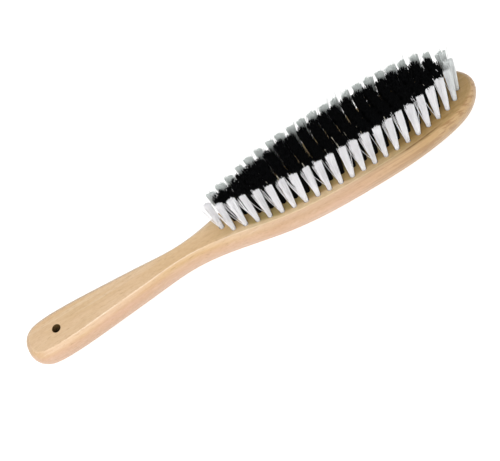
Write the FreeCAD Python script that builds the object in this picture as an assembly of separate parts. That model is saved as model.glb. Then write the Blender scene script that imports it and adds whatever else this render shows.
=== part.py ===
"""Wooden clothes brush with a handle: one beech body drilled with blind holes, and a tuft of filament
folded round a flat wire anchor in every hole. White tufts stand round the edge, black ones inside.

Frame: X runs along the brush from the handle's end to the head's tip, Y across it, Z up out of the
bristle face. The origin is under the middle of the brush, on the plane of the flat back. Millimetres.
"""

import FreeCAD
import Part
import math
import os

V = FreeCAD.Vector

# ---- Body: plan ----
handle_length = 87.5        # handle's end to the narrowest place of the neck
head_length = 173.0         # narrowest place of the neck to the head's tip
handle_width = 24.0
neck_width = 12.6
head_width = 43.0

# Shape of the plan between those sizes, outwards from the neck: (share of the length, share of the
# way from the neck's half width to the full half width).
handle_shape = [(0.21, 0.32), (0.42, 0.64), (0.64, 0.92), (0.83, 1.00), (0.95, 0.58)]
head_shape = [(0.09, 0.09), (0.19, 0.36), (0.31, 0.71), (0.44, 0.93), (0.58, 1.00), (0.73, 0.98),
              (0.86, 0.79), (0.955, 0.39)]

# ---- Body: section ----
body_thickness = 16.0
edge_inset = 3.5            # flat face's edge, in from the widest line of the side
edge_drop = 5.5             # widest line of the side, below the flat face
back_round = 7.5            # flat back's edge, in from the widest line of the side
neck_slimness = 0.75        # share of edge_inset and back_round left at the neck
neck_blend = 34.0           # distance from the neck over which they grow to their full size

# ---- Hanging hole ----
hanging_hole_diameter = 4.5
hanging_hole_from_end = 18.5

# ---- Tuft holes and their pattern ----
hole_diameter = 3.0
hole_depth = 8.0            # to the shoulder of the drill point
drill_point_angle = 118.0
edge_margin = 6.7           # edge row's centreline, in from the side of the head
tip_margin = 9.7             # the same at the head's tip
tail_from_neck = 27.3       # last edge tuft, on the centreline, from the neck
tail_cap = 4.4              # length over which the edge row closes on that tuft
edge_tufts_per_side = 22
row_steps = 3               # steps from the edge row to the centreline at the widest place
tip_row_spacing = 5.6       # first black tuft behind the pair of edge tufts at the tip
closest_tufts = 4.3         # no two tufts stand nearer than this

# ---- Tufts and anchors ----
bristle_length = 22.0       # above the flat face
hole_clearance = 0.05       # round the root of a tuft, on the radius
tuft_gap = 0.4              # between the tips of two neighbours
anchor_thickness = 0.35
anchor_height = 1.8
anchor_bite = 0.3           # into the wood at each end
fold_thickness = 1.0        # filament under the anchor

# ---- Worked out from the sizes above ----
tail_x = -(handle_length + head_length) / 2
tip_x = -tail_x
neck_x = tail_x + handle_length
face_z = body_thickness
hole_radius = hole_diameter / 2
root_radius = hole_radius - hole_clearance
row_spacing = (head_width / 2 - edge_margin) / row_steps
half_point = math.radians(drill_point_angle / 2)
hole_bottom_z = face_z - hole_depth - hole_radius / math.tan(half_point)
root_centre_z = hole_bottom_z + (root_radius + hole_clearance) / math.sin(half_point)
root_bottom_z = root_centre_z - root_radius
anchor_z = root_bottom_z + fold_thickness


def side_stations():
    """Points of the plan on the +Y side, from the handle's end to the head's tip, tips left out."""
    handle = [(neck_x - share * handle_length, neck_width / 2 + width * (handle_width - neck_width) / 2)
              for share, width in reversed(handle_shape)]
    head = [(neck_x + share * head_length, neck_width / 2 + width * (head_width - neck_width) / 2)
            for share, width in head_shape]
    return handle + [(neck_x, neck_width / 2)] + head


def plan_points():
    """The closed plan, round from the handle's end along -Y to the tip and back along +Y."""
    side = side_stations()
    near = [V(x, -y, 0) for x, y in side]
    far = [V(x, y, 0) for x, y in reversed(side)]
    return [V(tail_x, 0, 0)] + near + [V(tip_x, 0, 0)] + far


def chord_parameters(points):
    """Parameters for a closed curve through the points, by the square root of each chord."""
    steps = [math.sqrt((b - a).Length) for a, b in zip(points, points[1:] + points[:1])]
    found = [0.0]
    for step in steps:
        found.append(found[-1] + step)
    return found


def closed_curve(points, parameters):
    curve = Part.BSplineCurve()
    curve.interpolate(Points=points, PeriodicFlag=True, Parameters=parameters)
    return curve


def inward_normal(curve, parameter):
    along = curve.tangent(parameter)[0]
    return V(-along.y, along.x, 0)


def slimness(x):
    """1 away from the neck, neck_slimness at it, with an even blend between."""
    share = min(1.0, abs(x - neck_x) / neck_blend)
    return neck_slimness + (1 - neck_slimness) * (1 - math.cos(math.pi * share)) / 2


def section_levels():
    """(inset, height) down the side: an arc above the widest line and an ellipse's quarter below it."""
    widest_z = face_z - edge_drop
    arc_radius = (edge_inset ** 2 + edge_drop ** 2) / (2 * edge_inset)
    arc_angle = math.asin(min(1.0, edge_drop / arc_radius))
    back_steps, arc_steps = 5, 3
    back = [math.radians(90 * k / back_steps) for k in range(back_steps)]
    arc = [arc_angle * k / arc_steps for k in range(arc_steps + 1)]
    lower = [(back_round * (1 - math.sin(a)), widest_z * (1 - math.cos(a))) for a in back]
    upper = [(arc_radius * (1 - math.cos(a)), widest_z + arc_radius * math.sin(a)) for a in arc]
    return lower + upper


def body_blank():
    points = plan_points()
    parameters = chord_parameters(points)
    plan = closed_curve(points, parameters)
    wires = []
    for inset, height in section_levels():
        level = []
        for point, parameter in zip(points, parameters):
            moved = point + inward_normal(plan, parameter) * (inset * slimness(point.x))
            level.append(V(moved.x, moved.y, height))
        wires.append(Part.Wire(closed_curve(level, parameters).toShape()))
    return plan, Part.makeLoft(wires, True, False)


def edge_row(plan):
    """Centres of the edge tufts on the +Y side, from the tip to the tail, and the tail tuft's centre."""
    first, last = plan.FirstParameter, plan.LastParameter
    tip = plan.parameter(V(tip_x, 0, 0))
    samples = 900
    path = []
    for k in range(samples + 1):
        parameter = tip + (last - tip) * k / samples
        point = plan.value(min(parameter, last))
        normal = inward_normal(plan, min(max(parameter, first), last))
        path.append(V(point.x + tip_margin * normal.x, point.y + edge_margin * normal.y, 0))
    tail = V(neck_x + tail_from_neck, 0, 0)
    path = [p for p in path if p.x > tail.x + tail_cap and p.y >= 0] + [tail]
    lengths = [0.0]
    for a, b in zip(path, path[1:]):
        lengths.append(lengths[-1] + (b - a).Length)
    pitch = lengths[-1] / (edge_tufts_per_side + 0.5)
    centres = []
    for k in range(edge_tufts_per_side):
        wanted = pitch * (k + 0.5)
        after = next(i for i, s in enumerate(lengths) if s >= wanted)
        share = (wanted - lengths[after - 1]) / (lengths[after] - lengths[after - 1])
        centres.append(path[after - 1] + (path[after] - path[after - 1]) * share)
    return centres, tail, pitch


def stands_clear(place, taken):
    return all((place - other).Length >= closest_tufts for other in taken)


def across(half):
    """Places across one column of black tufts, from the outermost inwards: as many as find room."""
    count = min(5, int(2 * half / closest_tufts) + 1)
    step = 2 * half / (count - 1) if count > 1 else 0
    return count, [half - step * k for k in range(count // 2)]


def tuft_pattern(plan):
    """Centres of all tufts, by row: {"edge": [...], "outer": pairs, "inner": pairs, "centre": [...]}."""
    side, tail, pitch = edge_row(plan)
    mirrored = [V(c.x, -c.y, 0) for c in side]
    edge = [tail] + mirrored[::-1] + side

    def edge_half_width(x):
        ordered = [tail] + side[::-1]
        for a, b in zip(ordered, ordered[1:]):
            if a.x <= x <= b.x:
                return a.y + (b.y - a.y) * (x - a.x) / (b.x - a.x)
        return 0.0

    outer, inner, centre = [], [], [V(side[0].x - tip_row_spacing, 0, 0)]
    taken = edge + centre
    for a, b in zip(side, side[1:]):
        x = (a.x + b.x) / 2
        half = edge_half_width(x) - row_spacing
        if half < 0:
            continue
        count, offsets = across(half)
        for row, y in zip((outer, inner), offsets):
            pair = [V(x, y, 0), V(x, -y, 0)]
            if all(stands_clear(place, taken) for place in pair):
                row.append(pair)
                taken.extend(pair)
        if count % 2 and stands_clear(V(x, 0, 0), taken):
            centre.append(V(x, 0, 0))
            taken.append(V(x, 0, 0))
    return {"edge": edge, "outer": outer, "inner": inner, "centre": centre, "pitch": pitch}


def flare(place, every):
    """A tuft flares until it nearly meets its nearest neighbour."""
    nearest = sorted((place - other).Length for other in every)[1]
    return (nearest - tuft_gap) / 2


def tuft(top_radius):
    """A tuft on the Z axis: a round folded root in its hole, and the flare above the face."""
    top = face_z + bristle_length
    low = V(0, 0, root_bottom_z)
    quarter = V(root_radius * math.sin(math.pi / 4), 0, root_centre_z - root_radius * math.cos(math.pi / 4))
    shoulder = V(root_radius, 0, root_centre_z)
    mouth = V(root_radius, 0, face_z)
    rim = V(top_radius, 0, top)
    crown = V(0, 0, top)
    edges = [Part.Arc(low, quarter, shoulder).toShape(), Part.LineSegment(shoulder, mouth).toShape(),
             Part.LineSegment(mouth, rim).toShape(), Part.LineSegment(rim, crown).toShape(),
             Part.LineSegment(crown, low).toShape()]
    solid = Part.Face(Part.Wire(edges)).revolve(V(0, 0, 0), V(0, 0, 1), 360)
    return solid.cut(anchor())


def anchor():
    """Flat wire across the hole, driven into the wood at both ends."""
    length = hole_diameter + 2 * anchor_bite
    return Part.makeBox(anchor_thickness, length, anchor_height,
                        V(-anchor_thickness / 2, -length / 2, anchor_z))


def tuft_hole():
    cone_height = face_z - hole_depth - hole_bottom_z
    drilled = Part.makeCylinder(hole_radius, hole_depth, V(0, 0, face_z - hole_depth))
    point = Part.makeCone(0, hole_radius, cone_height, V(0, 0, hole_bottom_z))
    return drilled.fuse(point).fuse(anchor()).removeSplitter()


def copies(shape, places):
    made = []
    for place in places:
        copy = shape.copy()
        copy.translate(place)
        made.append(copy)
    return made


def tufts(places, every):
    return [copies(tuft(flare(place, every)), [place])[0] for place in places]


def hanging_hole():
    past = hanging_hole_diameter    # the drill runs this far past both faces
    return Part.makeCylinder(hanging_hole_diameter / 2, body_thickness + 2 * past,
                             V(tail_x + hanging_hole_from_end, 0, -past))


def export(name, solids):
    shape = solids[0] if len(solids) == 1 else Part.makeCompound(solids)
    assert shape.isValid(), name
    shape.exportStep("parts/" + name + ".step")


def main():
    os.makedirs("parts", exist_ok=True)
    plan, blank = body_blank()
    rows = tuft_pattern(plan)
    outer, inner = rows["outer"], rows["inner"]
    black = [c for pair in outer + inner for c in pair] + rows["centre"]
    every = rows["edge"] + black

    body = blank.cut(Part.makeCompound(copies(tuft_hole(), every))).cut(hanging_hole())
    export("wooden_body", body.Solids)

    for number, place in enumerate(rows["edge"], 1):
        export("edge_tuft_%02d" % number, tufts([place], every))

    groups = {"left_outer": [pair[0] for pair in outer], "left_inner": [pair[0] for pair in inner],
              "centre": rows["centre"],
              "right_inner": [pair[1] for pair in inner], "right_outer": [pair[1] for pair in outer]}
    for name, places in groups.items():
        export("black_tufts_" + name, tufts(places, every))
        export("anchors_" + name, copies(anchor(), places))
    export("anchors_edge", copies(anchor(), rows["edge"]))

    print("body valid", body.isValid(), "solids", len(body.Solids), "volume", round(body.Volume))
    radii = sorted(flare(place, every) for place in every)
    print("edge pitch %.2f, tips %.2f to %.2f" % (rows["pitch"], radii[0], radii[-1]))
    print("tufts", len(every), {name: len(places) for name, places in groups.items()})


main()
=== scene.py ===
"""Looks of the wooden clothes brush: lacquered beech body, a bundle of loose filaments in every hole."""

import math
import random

import bpy
import numpy as np
from mathutils import Matrix, Vector


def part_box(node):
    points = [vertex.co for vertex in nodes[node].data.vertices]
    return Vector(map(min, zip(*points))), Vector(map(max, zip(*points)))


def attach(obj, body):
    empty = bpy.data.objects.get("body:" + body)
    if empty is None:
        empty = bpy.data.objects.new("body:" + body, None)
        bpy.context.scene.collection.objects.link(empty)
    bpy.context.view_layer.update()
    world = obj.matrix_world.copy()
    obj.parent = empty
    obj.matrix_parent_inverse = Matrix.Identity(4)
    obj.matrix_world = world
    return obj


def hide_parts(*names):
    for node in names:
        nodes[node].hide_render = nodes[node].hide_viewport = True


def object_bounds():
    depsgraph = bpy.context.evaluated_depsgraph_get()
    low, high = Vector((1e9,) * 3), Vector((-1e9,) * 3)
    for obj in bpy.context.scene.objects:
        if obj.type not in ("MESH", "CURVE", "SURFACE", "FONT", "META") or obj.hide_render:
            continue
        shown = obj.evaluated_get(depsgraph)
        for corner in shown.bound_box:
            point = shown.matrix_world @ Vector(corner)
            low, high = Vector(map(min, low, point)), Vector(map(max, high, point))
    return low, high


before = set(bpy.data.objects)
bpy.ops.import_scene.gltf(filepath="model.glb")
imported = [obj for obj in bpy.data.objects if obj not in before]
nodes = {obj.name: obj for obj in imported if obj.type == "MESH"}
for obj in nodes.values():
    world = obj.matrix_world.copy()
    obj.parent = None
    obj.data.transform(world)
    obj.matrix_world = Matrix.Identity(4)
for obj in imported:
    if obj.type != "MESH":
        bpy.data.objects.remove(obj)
CAD_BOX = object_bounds()

body = nodes["wooden_body"]
BODY_LOW, BODY_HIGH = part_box("wooden_body")
FACE_Z = BODY_HIGH.z

# Filaments and bundles, metres.
FILAMENT = 0.00025
SIDES = 5                   # of a strand's section
PER_TUFT = 118
VARIANTS = 8                # different bundles of each colour
FOOT = 0.0065               # strands reach this far down into the hole
RISE = CAD_BOX[1][2] - FACE_Z
BRUSH_TOP = CAD_BOX[1][2]
SPREAD = 0.0027             # radius of a bundle at its top, along the brush, before it is fitted
BOWS = (0.00005, -0.00012, 0.0002, 0.0004)                  # how far strands bow out at mid height
BOW_STEPS = ((0.0, 0.0), (0.40, 0.75), (0.72, 0.8), (1.0, 0.0))     # share of the rise, share of the bow
PALE_BOW = 0.0002
GOLDEN_ANGLE = math.pi * (3 - math.sqrt(5))

# What sets the colours apart: radius where a bundle leaves its hole, radius across the brush at its top
# (the fold over the anchor opens a tuft less that way), top radius over that of its CAD solid,
# unevenness of the trimmed tops, share of strands that lean out, how unevenly and which way, how much
# shorter the bundle is, seed.
WHITE_TUFT = {"foot": 0.00120, "across": 0.0011, "fit": 0.74, "trim": 0.0006, "share": 0.15,
              "stray": 0.09, "slant": (-0.09, -0.04), "short": 0.0, "seed": 3}
BLACK_TUFT = {"foot": 0.00136, "across": 0.0026, "fit": 1.41, "trim": 0.0006, "share": 0.07,
              "stray": 0.05, "slant": (-0.03, 0.0), "short": 0.0013, "seed": 5}
# The tufts on the other side and at the tip, past these places, stand fuller and straighter.
FAR_TUFT = {**WHITE_TUFT, "across": 0.0012, "fit": 1.0, "trim": 0.0012, "share": 0.07, "seed": 7}
FAR_PAST_X, FAR_PAST_Y = 0.1, 0.001
# The black tufts at the handle's end of the head spread more.
FULLER, FULLER_BEFORE_X = 1.25, 0.02
# Beside the black tufts past this x and before this y stand lone pale strands, so many each.
LOOSE_PAST_X, LOOSE_BEFORE_Y = 0, -0.004
LOOSE_COUNTS = (0, 1, 2)

# Unevenness: of a strand's angle in its bundle, its lean and its trim, of a white bundle's flare, of a
# bundle's tilt on its hole, and a bundle's turn in it (mean and spread).
ANGLE_SPREAD = 0.12
SPLAY_SPREAD = 0.008
TRIM_SPREAD = 0.7
FLARE_SPREAD = 0.06
TILT_SPREAD = 0.012
TURN, TURN_SPREAD = -0.15, 0.15
SMOOTH_ANGLE = math.radians(80)

# How far the tops stand from over their holes, metres.
EDGE_Y = 0.0148                         # edge rows' distance from the centreline
NEAR_LEAN = Vector((0.0, 0.0020))       # in the row at -EDGE_Y
FAR_LEAN = Vector((-0.0014, 0.0))       # in the row at EDGE_Y
TIP_LEAN = Vector((-0.0014, 0.0008))    # added there, growing from TIP_FROM to TIP_TO
TIP_FROM, TIP_TO = 0.084, 0.104

# Where the looks change along the brush, metres.
HEAD_FROM = -0.025                      # the painted shade on the face and on the head's shoulder begins
FLAT_TO = -0.012                        # the handle's paler flat
# the painted highlight along the handle's near arris
HIGHLIGHT_LINE_FROM, HIGHLIGHT_LINE_TO = -0.115, -0.002
BROWN_FROM = 0.044                      # the browner stretch at the tip
DARK_LINE_FROM, DARK_LINE_TO = 0.074, 0.104
SHADE_PAST_X, SHADE_PAST_Y = 0.110, 0.002       # the white strands' shaded tint

# The near edge of the face, along which the painted shade on the face stops short of the arris, is read
# between these places and kept in a ramp. A vertex on the face is on that edge when no other within
# RIM_NEARBY along the brush stands more than RIM_SLACK further out.
RIM_FROM, RIM_TO = -0.040, 0.110
RIM_STOPS = 24
RIM_UNIT = 0.03             # distance from the centreline that white stands for
RIM_NEARBY = 0.004
RIM_SLACK = 0.002
ON_FACE = 1e-5

# Hanging hole, metres.
BORE_X = BODY_LOW.x + 0.0185
BORE_RADIUS = 0.00225

# Light.
SKY = 0.50
KEY_POWER = 10.8
KEY_PLACE = (-0.32, -0.70, 0.83)
FILL_POWER = 1.5
FILL_PLACE = (0.70, 0.10, 0.80)
LAMP_AIM = (0, 0, 0.02)
LAMP_SIZE = 0.9
FLOOR_SIZE = 6
FLOOR_GLOW = 0.55

# View of the brush: where the camera stands, and its axes.
CAMERA_PLACE = Vector((-0.0071, -0.2864, 0.4218))
CAMERA_RIGHT = Vector((0.85173, -0.43605, -0.29054))
CAMERA_DOWN = Vector((-0.52395, -0.7031, -0.48075))
CAMERA_LENS = 72.0


# ---------------------------------------------------------------- shader helpers

class Out:
    """A socket whose arithmetic adds Math nodes."""

    def __init__(self, mat, socket):
        self.mat = mat
        self.socket = socket

    def math(self, operation, other=None, clamp=False):
        return self.mat.node("ShaderNodeMath", {"operation": operation, "use_clamp": clamp},
                             {i: v for i, v in enumerate((self, other)) if v is not None})

    def __add__(self, other):
        return self.math("ADD", other)

    def __sub__(self, other):
        return self.math("SUBTRACT", other)

    def __mul__(self, other):
        return self.math("MULTIPLY", other)

    def __truediv__(self, other):
        return self.math("DIVIDE", other)

    def __pow__(self, other):
        return self.math("POWER", other)

    def __rsub__(self, other):
        return self.mat.node("ShaderNodeMath", {"operation": "SUBTRACT"}, {0: other, 1: self})

    def __abs__(self):
        return self.math("ABSOLUTE")

    __radd__ = __add__

    def clamped(self):
        return self.math("ADD", 0.0, clamp=True)


def rising(value, start, slope):
    """0 up to start, from there growing by the slope to 1."""
    return ((value - start) * slope).clamped()


def falling(value, end, slope):
    """0 from end on, before that growing backwards by the slope to 1."""
    return ((end - value) * slope).clamped()


def line(height, depth, slope):
    """1 on the line at this depth under the face, falling off by the slope to both sides."""
    return (1.0 - abs(height + depth) * slope).clamped()


class Finish:
    """A material under construction."""

    def __init__(self, name):
        self.material = bpy.data.materials.new(name)
        self.material.use_nodes = True
        self.tree = self.material.node_tree
        self.tree.nodes.clear()
        self.shader = self.tree.nodes.new("ShaderNodeBsdfPrincipled")
        output = self.tree.nodes.new("ShaderNodeOutputMaterial")
        self.tree.links.new(self.shader.outputs[0], output.inputs[0])

    @classmethod
    def of_world(cls, world):
        """The same tools on a world's nodes."""
        made = cls.__new__(cls)
        made.tree = world.node_tree
        made.tree.nodes.clear()
        return made

    def node(self, kind, settings=None, values=None, out=0):
        """A new node with its settings, and its inputs linked or set; gives one of its outputs."""
        made = self.tree.nodes.new(kind)
        for name, value in (settings or {}).items():
            if name == "stops":
                ramp = made.color_ramp
                while len(ramp.elements) < len(value):
                    ramp.elements.new(0.5)
                for element, (place, colour) in zip(ramp.elements, value):
                    element.position = place
                    element.color = (*colour, 1.0)
            else:
                setattr(made, name, value)
        for name, value in (values or {}).items():
            if isinstance(value, Out):
                self.tree.links.new(value.socket, made.inputs[name])
            else:
                made.inputs[name].default_value = value
        return Out(self, made.outputs[out])

    def set(self, **values):
        """Link or set the shader's inputs."""
        for name, value in values.items():
            socket = self.shader.inputs[name.replace("_", " ")]
            if isinstance(value, Out):
                self.tree.links.new(value.socket, socket)
            else:
                socket.default_value = value
        return self

    def place(self, scale=(1, 1, 1), offset=(0, 0, 0)):
        """Object coordinates, scaled and moved."""
        here = self.node("ShaderNodeTexCoord", out="Object")
        return self.node("ShaderNodeMapping", None, {"Vector": here, "Location": offset, "Scale": scale})

    def noise(self, at, scale, detail=4.0, roughness=0.55, distortion=0.0):
        return self.node("ShaderNodeTexNoise", None,
                         {"Vector": at, "Scale": scale, "Detail": detail, "Roughness": roughness,
                          "Distortion": distortion})

    def ramp(self, value, *stops):
        return self.node("ShaderNodeValToRGB", {"stops": stops}, {0: value})

    def mask(self, value, low, high):
        """0 where the value is under low, 1 where it is over high."""
        return self.ramp(value, (low, (0, 0, 0)), (high, (1, 1, 1)))

    def blend(self, share, first, second):
        """The second colour mixed into the first by the share."""
        made = self.tree.nodes.new("ShaderNodeMix")
        made.data_type = "RGBA"
        for number, value in ((0, share), (6, first), (7, second)):
            socket = made.inputs[number]
            if isinstance(value, Out):
                self.tree.links.new(value.socket, socket)
            elif isinstance(value, tuple):
                socket.default_value = (*value, 1.0)
            else:
                socket.default_value = value
        return Out(self, made.outputs[2])

    def bump(self, height, strength, distance):
        return self.node("ShaderNodeBump", None,
                         {"Height": height, "Strength": strength, "Distance": distance})


def linear(red, green, blue):
    """A colour given as it is seen, 0 to 255, as the shader's linear values."""
    def one(v):
        v = v / 255
        return v / 12.92 if v <= 0.04045 else ((v + 0.055) / 1.055) ** 2.4
    return (one(red), one(green), one(blue))


# ---------------------------------------------------------------- materials

def rim():
    """The near edge of the body's face as a ramp's stops: share of the way along, distance from the
    centreline."""
    at = np.array([v.co for v in body.data.vertices])
    at = at[(at[:, 2] > FACE_Z - ON_FACE) & (at[:, 1] < 0)]
    edge = np.array(sorted((x, -y) for x, y, z in at
                           if -y > -at[abs(at[:, 0] - x) < RIM_NEARBY, 1].min() - RIM_SLACK))
    shares = np.linspace(0, 1, RIM_STOPS)
    out = np.interp(RIM_FROM + shares * (RIM_TO - RIM_FROM), edge[:, 0], edge[:, 1])
    return [(float(share), (float(y / RIM_UNIT),) * 3) for share, y in zip(shares, out)]


def beech():
    """Pale lacquered beech: long grain, growth bands, ray flecks, a browner stretch at the head's tip,
    satin lacquer; painted shade on the face under the bristles and on the head's upper flank, painted
    highlights along the near arris, and a bore darkened by its unlacquered grain and by painted shade."""
    m = Finish("beech_lacquered")
    here = m.place()
    x, y, z = (m.node("ShaderNodeSeparateXYZ", None, {0: here}, out) for out in range(3))
    height = z - FACE_Z
    near = falling(y, 0.0, 300.0)

    # Plain wood: grain, pink blotches, pale streaks.
    sway = m.noise(m.place((7, 30, 30)), 1.0, 2.0)
    bands = m.noise(m.place((9, 260, 170), (0.3, 0.1, 0.2)), 1.0, 3.0, 0.6, 0.45)
    grain = m.noise(m.place((60, 1700, 1500)), 1.0, 5.0, 0.75)
    tone = (bands * 0.52 + grain * 0.30 + sway * 0.18).clamped()
    wood = m.ramp(tone, (0.26, linear(190, 155, 111)), (0.44, linear(203, 170, 127)),
                  (0.56, linear(208, 177, 137)), (0.74, linear(216, 192, 158)))
    blotch = m.noise(m.place((20, 55, 70), (0.7, 0.2, 0.4)), 1.0, 3.0)
    pink = m.mask(blotch, 0.42, 0.64)
    wood = m.blend(pink * 0.45, wood, linear(211, 173, 149))
    pale = m.mask(m.noise(m.place((16, 620, 500), (0.1, 0.6, 0.5)), 1.0, 2.0, 0.5, 0.2), 0.58, 0.72)
    wood = m.blend(pale * 0.42, wood, linear(222, 202, 174))

    # The browner stretch, and veins, which are strongest there.
    brown = ((x - BROWN_FROM) * 22.0 + (blotch - 0.5) * 0.8).clamped()
    wood = m.blend(brown * 0.64, wood, linear(168, 134, 84))
    wood = m.blend(pale * brown * 0.5, wood, linear(208, 182, 138))
    veins = m.noise(m.place((11, 760, 640), (0.5, 0.4, 0.8)), 1.0, 3.0, 0.6, 0.35)
    wood = m.blend(m.mask(veins, 0.50, 0.60) * (brown * 0.72 + 0.12).clamped(), wood,
                   linear(146, 109, 66))

    # The face under the bristles, darkened by painted shade from the tufts, with a painted highlight on
    # a paler lip inside the near arris.
    face = rising(height, -0.0012, 1500.0) * rising(x, HEAD_FROM, 45.0)
    inside = m.ramp((x - RIM_FROM) / (RIM_TO - RIM_FROM), *rim()) * RIM_UNIT + y
    inner = rising(inside, 0.0006, 800.0)
    # Painted highlight: a paler strip on the face along its near edge, where the painted shade stops
    # short.
    lip_highlight = face * (1.0 - inner) * (1.0 - brown) * rising(height, -0.0003, 5000.0)
    face = face * (inner * 0.93 + brown + 0.07).clamped()
    # Painted shade: the face between and under the tufts is tinted olive, browner at the tip.
    wood = m.blend(face * 0.74, wood, m.blend(brown, linear(135, 124, 69), linear(138, 111, 58)))
    wide = m.mask(m.noise(m.place((6, 170, 130), (0.9, 0.3, 0.6)), 1.0, 3.0, 0.5, 0.2), 0.46, 0.62)
    wood = m.blend(wide * (1.0 - brown) * 0.42, wood, linear(192, 153, 102))
    wood = m.blend(lip_highlight * 0.32, wood, linear(214, 202, 168))

    # The handle's flat, paler, and the flank, pinker, with painted shade darkening the shoulder round
    # the head.
    flat = rising(height, -0.0006, 2500.0) * falling(x, FLAT_TO, 60.0)
    wood = m.blend(flat * (0.25 + pink * 0.3), wood, linear(224, 196, 160))
    flank = falling(height, -0.0015, 500.0) * (1.0 - brown * 0.3)
    wood = m.blend(flank * 0.42, wood, m.blend(brown, linear(207, 167, 149), linear(196, 160, 116)))
    # Painted shade: the flank just under the head's arris is darkened.
    shoulder_shade = rising(height, -0.0045, 400.0) * falling(height, -0.0001, 4000.0)
    shoulder_shade = shoulder_shade * rising(x, HEAD_FROM, 25.0) * (1.0 - brown)
    wood = m.blend(shoulder_shade * 0.62, wood, linear(180, 144, 116))

    # A painted highlight, a pale broken line, on the near arris of the handle; a broken dark line under
    # that of the head.
    highlight_breaks = m.noise(m.place((45, 45, 45), (0.2, 0.9, 0.1)), 1.0, 3.0)
    stretch = falling(x, HIGHLIGHT_LINE_TO, 50.0) * rising(x, HIGHLIGHT_LINE_FROM, 60.0)
    # Painted highlight along the handle's near arris.
    painted_highlight_line = line(height, 0.00014, 6800.0) * near * rising(highlight_breaks, 0.34, 6.0) * stretch
    wood = m.blend((painted_highlight_line * (1.0 - brown)).clamped() * 0.5, wood, linear(236, 222, 202))
    broken = m.noise(m.place((130, 20, 20), (0.4, 0.0, 0.0)), 1.0, 2.0)
    stretch = rising(x, DARK_LINE_FROM, 140.0) * falling(x, DARK_LINE_TO, 140.0)
    dark_line = line(height, 0.00035, 3400.0) * near * rising(broken, 0.36, 9.0) * stretch
    wood = m.blend((dark_line * 1.2).clamped(), wood, linear(104, 72, 20))

    # Pores, ray flecks, and the bore, darker for its unlacquered end grain and for painted shade in the
    # recess.
    pores = m.noise(m.place((420, 1100, 1100), (0.3, 0.2, 0.7)), 1.0, 3.0, 0.6)
    wood = m.blend((1.0 - m.mask(pores, 0.40, 0.52)) * 0.16, wood, linear(176, 136, 96))
    flecks = m.noise(m.place((260, 2200, 2200)), 1.0, 1.0, 0.4)
    wood = m.blend(m.mask(flecks, 0.64, 0.72) * 0.30, wood, linear(140, 104, 66))
    aside = x - BORE_X
    bore = (aside * aside + y * y) ** 0.5
    # Painted shade in the bore, over its darker unlacquered grain.
    raw_grain_and_shade = ((BORE_RADIUS - bore) * 9000.0 + 1.4).clamped()
    wood = m.blend(raw_grain_and_shade * 0.94, wood, linear(84, 61, 20))

    m.set(Base_Color=wood, Roughness=(grain * 0.16 + 0.36).clamped(),
          Normal=m.bump(grain, 0.12, 0.00008))
    m.set(Coat_Weight=0.25, Coat_Roughness=0.28, Specular_IOR_Level=0.4)
    return m.material


def nylon(name, dark, pale, rough, level, soft=0.0, shade=None):
    """Nylon filament, a little different in tone from strand to strand; shade, when given, is painted
    shade over the far row and the tip."""
    m = Finish(name)
    strand = m.noise(m.place((2600, 2600, 90)), 1.0, 1.0)
    along = m.noise(m.place((500, 500, 160), (0.4, 0.2, 0.1)), 1.0, 2.0)
    tone = m.ramp((strand * 0.7 + along * 0.3).clamped(), (0.34, dark), (0.62, pale))
    if shade:
        x, y = (m.node("ShaderNodeSeparateXYZ", None, {0: m.place()}, out) for out in (0, 1))
        # Painted shade: the far row and the tip are tinted greyer.
        tone = m.blend(rising(y, SHADE_PAST_Y, 300.0), tone, shade)
        tone = m.blend(rising(x, SHADE_PAST_X, 150.0) * 0.7, tone, shade)
    m.set(Base_Color=tone, Roughness=(along * 0.2 + rough).clamped())
    m.set(Specular_IOR_Level=level, IOR=1.53)
    m.set(Subsurface_Weight=soft, Subsurface_Radius=(1.0, 1.0, 1.0), Subsurface_Scale=0.0004)
    return m.material


def drawn_wire():
    """Drawn steel wire of the anchors, lined along its length."""
    m = Finish("anchor_wire")
    lines = m.noise(m.place((900, 60, 5200)), 1.0, 3.0)
    m.set(Base_Color=m.ramp(lines, (0.3, (0.30, 0.30, 0.29)), (0.7, (0.48, 0.48, 0.46))),
          Roughness=(lines * 0.2 + 0.3).clamped(), Normal=m.bump(lines, 0.2, 0.00005))
    m.set(Metallic=1.0)
    return m.material


BEECH = beech()
# The last colour is painted shade for the far row and the tip.
WHITE = nylon("white_nylon", linear(249, 248, 252), linear(254, 253, 255), 0.36, 0.5, 0.5,
              linear(222, 228, 225))
BLACK = nylon("black_nylon", linear(2, 2, 3), linear(6, 7, 8), 0.6, 0.06)
PALE = nylon("pale_bristle", linear(238, 230, 204), linear(250, 246, 228), 0.5, 0.3)
WIRE = drawn_wire()


def paint(piece, material):
    """Give a piece this material alone."""
    piece.data.materials.clear()
    piece.data.materials.append(material)


# ---------------------------------------------------------------- bristles

def join(pieces):
    """One object of these, left active."""
    bpy.ops.object.select_all(action="DESELECT")
    for piece in pieces:
        piece.select_set(True)
    bpy.context.view_layer.objects.active = pieces[0]
    bpy.ops.object.join()
    return bpy.context.active_object


def only(piece):
    """Select this one and make it active."""
    bpy.ops.object.select_all(action="DESELECT")
    piece.select_set(True)
    bpy.context.view_layer.objects.active = piece


def duplicate(piece):
    """A copy with its own mesh, in the scene."""
    copy = piece.copy()
    copy.data = piece.data.copy()
    bpy.context.scene.collection.objects.link(copy)
    return copy


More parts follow.
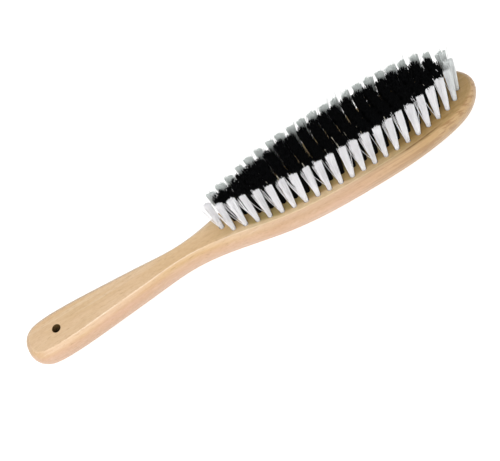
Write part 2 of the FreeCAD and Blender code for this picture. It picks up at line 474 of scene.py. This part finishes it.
def filament(name, bow):
    """One strand standing on the face's level, its foot down in the hole, bowed out at mid height."""
    bpy.ops.object.select_all(action="DESELECT")
    bpy.ops.mesh.primitive_circle_add(vertices=SIDES, radius=FILAMENT / 2, fill_type="NGON",
                                      location=(0, 0, -FOOT))
    strand = bpy.context.active_object
    strand.name = name
    bpy.ops.object.transform_apply(location=True, rotation=True, scale=True)
    bpy.ops.object.mode_set(mode="EDIT")
    bpy.ops.mesh.select_all(action="SELECT")
    level, out = -FOOT, 0.0
    for rise_share, bow_share in BOW_STEPS:
        bpy.ops.mesh.extrude_region_move(TRANSFORM_OT_translate={
            "value": (bow * bow_share - out, 0, RISE * rise_share - level)})
        level, out = RISE * rise_share, bow * bow_share
    bpy.ops.mesh.select_all(action="SELECT")
    bpy.ops.mesh.normals_make_consistent(inside=False)
    bpy.ops.object.mode_set(mode="OBJECT")
    bpy.ops.object.shade_smooth_by_angle(angle=SMOOTH_ANGLE)
    return strand


def bundle(name, strands, tuft, draw):
    """A bundle of strands round the Z axis, packed at the foot and spread at the top, a few wayward."""
    copies = []
    for number in range(PER_TUFT):
        reach = math.sqrt((number + 0.5) / PER_TUFT)
        angle = number * GOLDEN_ANGLE + draw.gauss(0, ANGLE_SPREAD)
        out = Vector((math.cos(angle), math.sin(angle), 0))
        wayward = draw.random() < tuft["share"]
        splay = Matrix.Identity(4)
        for axis, spread in ((0, SPREAD), (1, tuft["across"])):
            splay[axis][2] = (out[axis] * reach * (spread - tuft["foot"]) / RISE
                              + (draw.gauss(tuft["slant"][axis], tuft["stray"]) if wayward
                                 else draw.gauss(0, SPLAY_SPREAD)))
        height = 1 - (tuft["short"] + tuft["trim"] * abs(draw.gauss(0, TRIM_SPREAD))) / RISE
        strand = duplicate(draw.choice(strands))
        strand.data.transform(Matrix.Translation(out * (tuft["foot"] - FILAMENT / 2) * reach) @ splay
                              @ Matrix.Rotation(draw.uniform(0, 2 * math.pi), 4, "Z")
                              @ Matrix.Diagonal((1, 1, height, 1)))
        copies.append(strand)
    whole = join(copies)
    whole.name = name
    return whole


def bundles(kind, material, tuft):
    """The different bundles of one colour, to be copied into the holes."""
    draw = random.Random(tuft["seed"])
    strands = [filament("strand_%s_%d" % (kind, n), bow) for n, bow in enumerate(BOWS)]
    made = [bundle("bundle_%s_%d" % (kind, n), strands, tuft, draw) for n in range(VARIANTS)]
    for strand in strands:
        bpy.data.objects.remove(strand)
    for piece in made:
        paint(piece, material)
    return made


def lean_at(place):
    """How far, in x and y, a top stands from over its hole."""
    far = FAR_LEAN + TIP_LEAN * min(max((place[0] - TIP_FROM) / (TIP_TO - TIP_FROM), 0), 1)
    return NEAR_LEAN.lerp(far, (1 + place[1] / EDGE_Y) / 2)


def stand(source, place, top_radius, draw):
    """A copy of a bundle, flared to its top radius and set on the face at its place."""
    piece = duplicate(source)
    only(piece)
    taper = piece.modifiers.new("flare", "SIMPLE_DEFORM")
    taper.deform_method = "TAPER"
    taper.deform_axis = "Z"
    taper.factor = (top_radius / SPREAD - 1) * (RISE + FOOT) / RISE
    bpy.ops.object.modifier_apply(modifier="flare")
    lean = lean_at(place) / RISE
    nod = Matrix.Rotation(draw.gauss(0, TILT_SPREAD) - lean.y, 4, "X")
    sway = Matrix.Rotation(draw.gauss(0, TILT_SPREAD) + lean.x, 4, "Y")
    turn = Matrix.Rotation(math.pi * (place[1] > 0) + draw.gauss(TURN, TURN_SPREAD), 4, "Z")
    piece.data.transform(Matrix.Translation((place[0], place[1], FACE_Z)) @ nod @ sway @ turn)
    top = max(v.co.z for v in piece.data.vertices)
    if top > BRUSH_TOP:
        piece.data.transform(Matrix.Translation((0, 0, BRUSH_TOP - top)))
    return piece


def loose(strand, place, draw):
    """A lone pale strand out of a tuft's hole, leaning into the gap beside its column."""
    piece = duplicate(strand)
    foot = BLACK_TUFT["foot"]
    lean = Matrix.Identity(4)
    tilt = lean_at(place) / RISE
    lean[0][2] = tilt.x - (place[2] * BLACK_TUFT["fit"] - foot) / RISE * draw.uniform(0.95, 1.1)
    lean[1][2] = tilt.y + draw.gauss(-0.02, 0.02)
    height = Matrix.Diagonal((1, 1, draw.uniform(0.85, 0.99), 1))
    piece.data.transform(Matrix.Translation((place[0] - foot, place[1], FACE_Z)) @ lean @ height)
    return piece


def solids_of(node):
    """(x, y, top radius) of each tuft solid in a CAD node."""
    copy = duplicate(nodes[node])
    copy.parent = None
    only(copy)
    bpy.ops.object.mode_set(mode="EDIT")
    bpy.ops.mesh.select_all(action="SELECT")
    bpy.ops.mesh.remove_doubles(threshold=1e-6)
    bpy.ops.mesh.separate(type="LOOSE")
    bpy.ops.object.mode_set(mode="OBJECT")
    found = []
    for piece in list(bpy.context.selected_objects):
        at = np.array([v.co for v in piece.data.vertices])
        low, high = at.min(0), at.max(0)
        found.append(((low[0] + high[0]) / 2, (low[1] + high[1]) / 2, (high[0] - low[0]) / 2))
        bpy.data.objects.remove(piece)
    return sorted(found)


def shown(piece, name, *stands_for):
    """Name a finished piece, hang it on the root body and hide the CAD parts it stands for."""
    piece.name = name
    piece.data.name = name
    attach(piece, "root")
    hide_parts(*stands_for)


draw = random.Random(20)
whites = bundles("white", WHITE, WHITE_TUFT)
far_whites = bundles("far_white", WHITE, FAR_TUFT)
blacks = bundles("black", BLACK, BLACK_TUFT)
pale_strand = filament("strand_pale", PALE_BOW)
paint(pale_strand, PALE)

for name in sorted(n for n in nodes if n.startswith("edge_tuft_")):
    (place,) = solids_of(name)
    far = place[1] > FAR_PAST_Y or place[0] > FAR_PAST_X
    tuft, choice = (FAR_TUFT, far_whites) if far else (WHITE_TUFT, whites)
    piece = stand(draw.choice(choice), place, place[2] * tuft["fit"] * draw.gauss(1, FLARE_SPREAD), draw)
    shown(piece, name.replace("tuft", "bristles"), name)

for name in sorted(n for n in nodes if n.startswith("black_tufts_")):
    places = solids_of(name)
    tufts = []
    for place in places:
        top_radius = place[2] * BLACK_TUFT["fit"] * (FULLER if place[0] < FULLER_BEFORE_X else 1)
        tufts.append(stand(draw.choice(blacks), place, top_radius, draw))
    tufts += [loose(pale_strand, place, draw) for place in places
              if place[0] > LOOSE_PAST_X and place[1] < LOOSE_BEFORE_Y
              for _ in range(draw.choice(LOOSE_COUNTS))]
    field = join(tufts)
    shown(field, name.replace("tufts", "bristles"), name)

for source in whites + far_whites + blacks + [pale_strand]:
    bpy.data.objects.remove(source)

paint(body, BEECH)
for name, node in nodes.items():
    if name.startswith("anchors_"):
        paint(node, WIRE)


# ---------------------------------------------------------------- floor, light and camera

def seen_directly(m):
    """1 for the rays that show the background: from the eye, off a gloss or through glass."""
    eye, gloss, glass = (m.node("ShaderNodeLightPath", out="Is %s Ray" % kind)
                         for kind in ("Camera", "Glossy", "Transmission"))
    return (eye + gloss + glass).clamped()


def floor():
    """White ground that keeps the brush's shadow."""
    bpy.ops.object.select_all(action="DESELECT")
    bpy.ops.mesh.primitive_plane_add(size=FLOOR_SIZE, location=(0, 0, 0))
    plane = bpy.context.active_object
    plane.name = "floor"
    m = Finish("floor_paper")
    grain = m.noise(m.place((300, 300, 300)), 1.0, 2.0)
    tone = m.ramp(grain, (0.3, (0.80, 0.80, 0.80)), (0.7, (0.82, 0.82, 0.82)))
    m.set(Base_Color=tone, Roughness=0.9, Specular_IOR_Level=0.1)
    m.set(Emission_Color=m.blend(seen_directly(m), (0.0, 0.0, 0.0), (1.0, 1.0, 1.0)),
          Emission_Strength=FLOOR_GLOW)
    paint(plane, m.material)


def lamp(name, place, power):
    """A square lamp aimed at the brush."""
    bpy.ops.object.select_all(action="DESELECT")
    bpy.ops.object.light_add(type="AREA", location=place)
    light = bpy.context.active_object
    light.name = name
    light.data.size = LAMP_SIZE
    light.data.energy = power
    light.rotation_euler = (Vector(LAMP_AIM) - Vector(place)).to_track_quat("-Z", "Y").to_euler()


def sky():
    """Plain surroundings that light the brush at the sky's strength and are seen as white."""
    world = bpy.data.worlds.new("studio")
    bpy.context.scene.world = world
    world.use_nodes = True
    m = Finish.of_world(world)
    dim = m.node("ShaderNodeBackground", None, {"Color": (1, 1, 1, 1), "Strength": SKY})
    white = m.node("ShaderNodeBackground", None, {"Color": (1, 1, 1, 1), "Strength": 1.0})
    both = m.node("ShaderNodeMixShader", None, {0: seen_directly(m), 1: dim, 2: white})
    m.tree.links.new(both.socket, m.tree.nodes.new("ShaderNodeOutputWorld").inputs[0])


def camera():
    """The view of the brush that CAMERA_PLACE and the axes describe."""
    data = bpy.data.cameras.new("camera")
    data.lens = CAMERA_LENS
    data.clip_start = 0.01
    seen_from = bpy.data.objects.new("camera", data)
    bpy.context.scene.collection.objects.link(seen_from)
    back = CAMERA_RIGHT.cross(-CAMERA_DOWN)
    turn = Matrix((CAMERA_RIGHT, -CAMERA_DOWN, back)).transposed().to_4x4()
    seen_from.matrix_world = Matrix.Translation(CAMERA_PLACE) @ turn
    bpy.context.scene.camera = seen_from


floor()
sky()
lamp("key", KEY_PLACE, KEY_POWER)
lamp("fill", FILL_PLACE, FILL_POWER)
camera()
bpy.context.scene.view_settings.view_transform = "Standard"
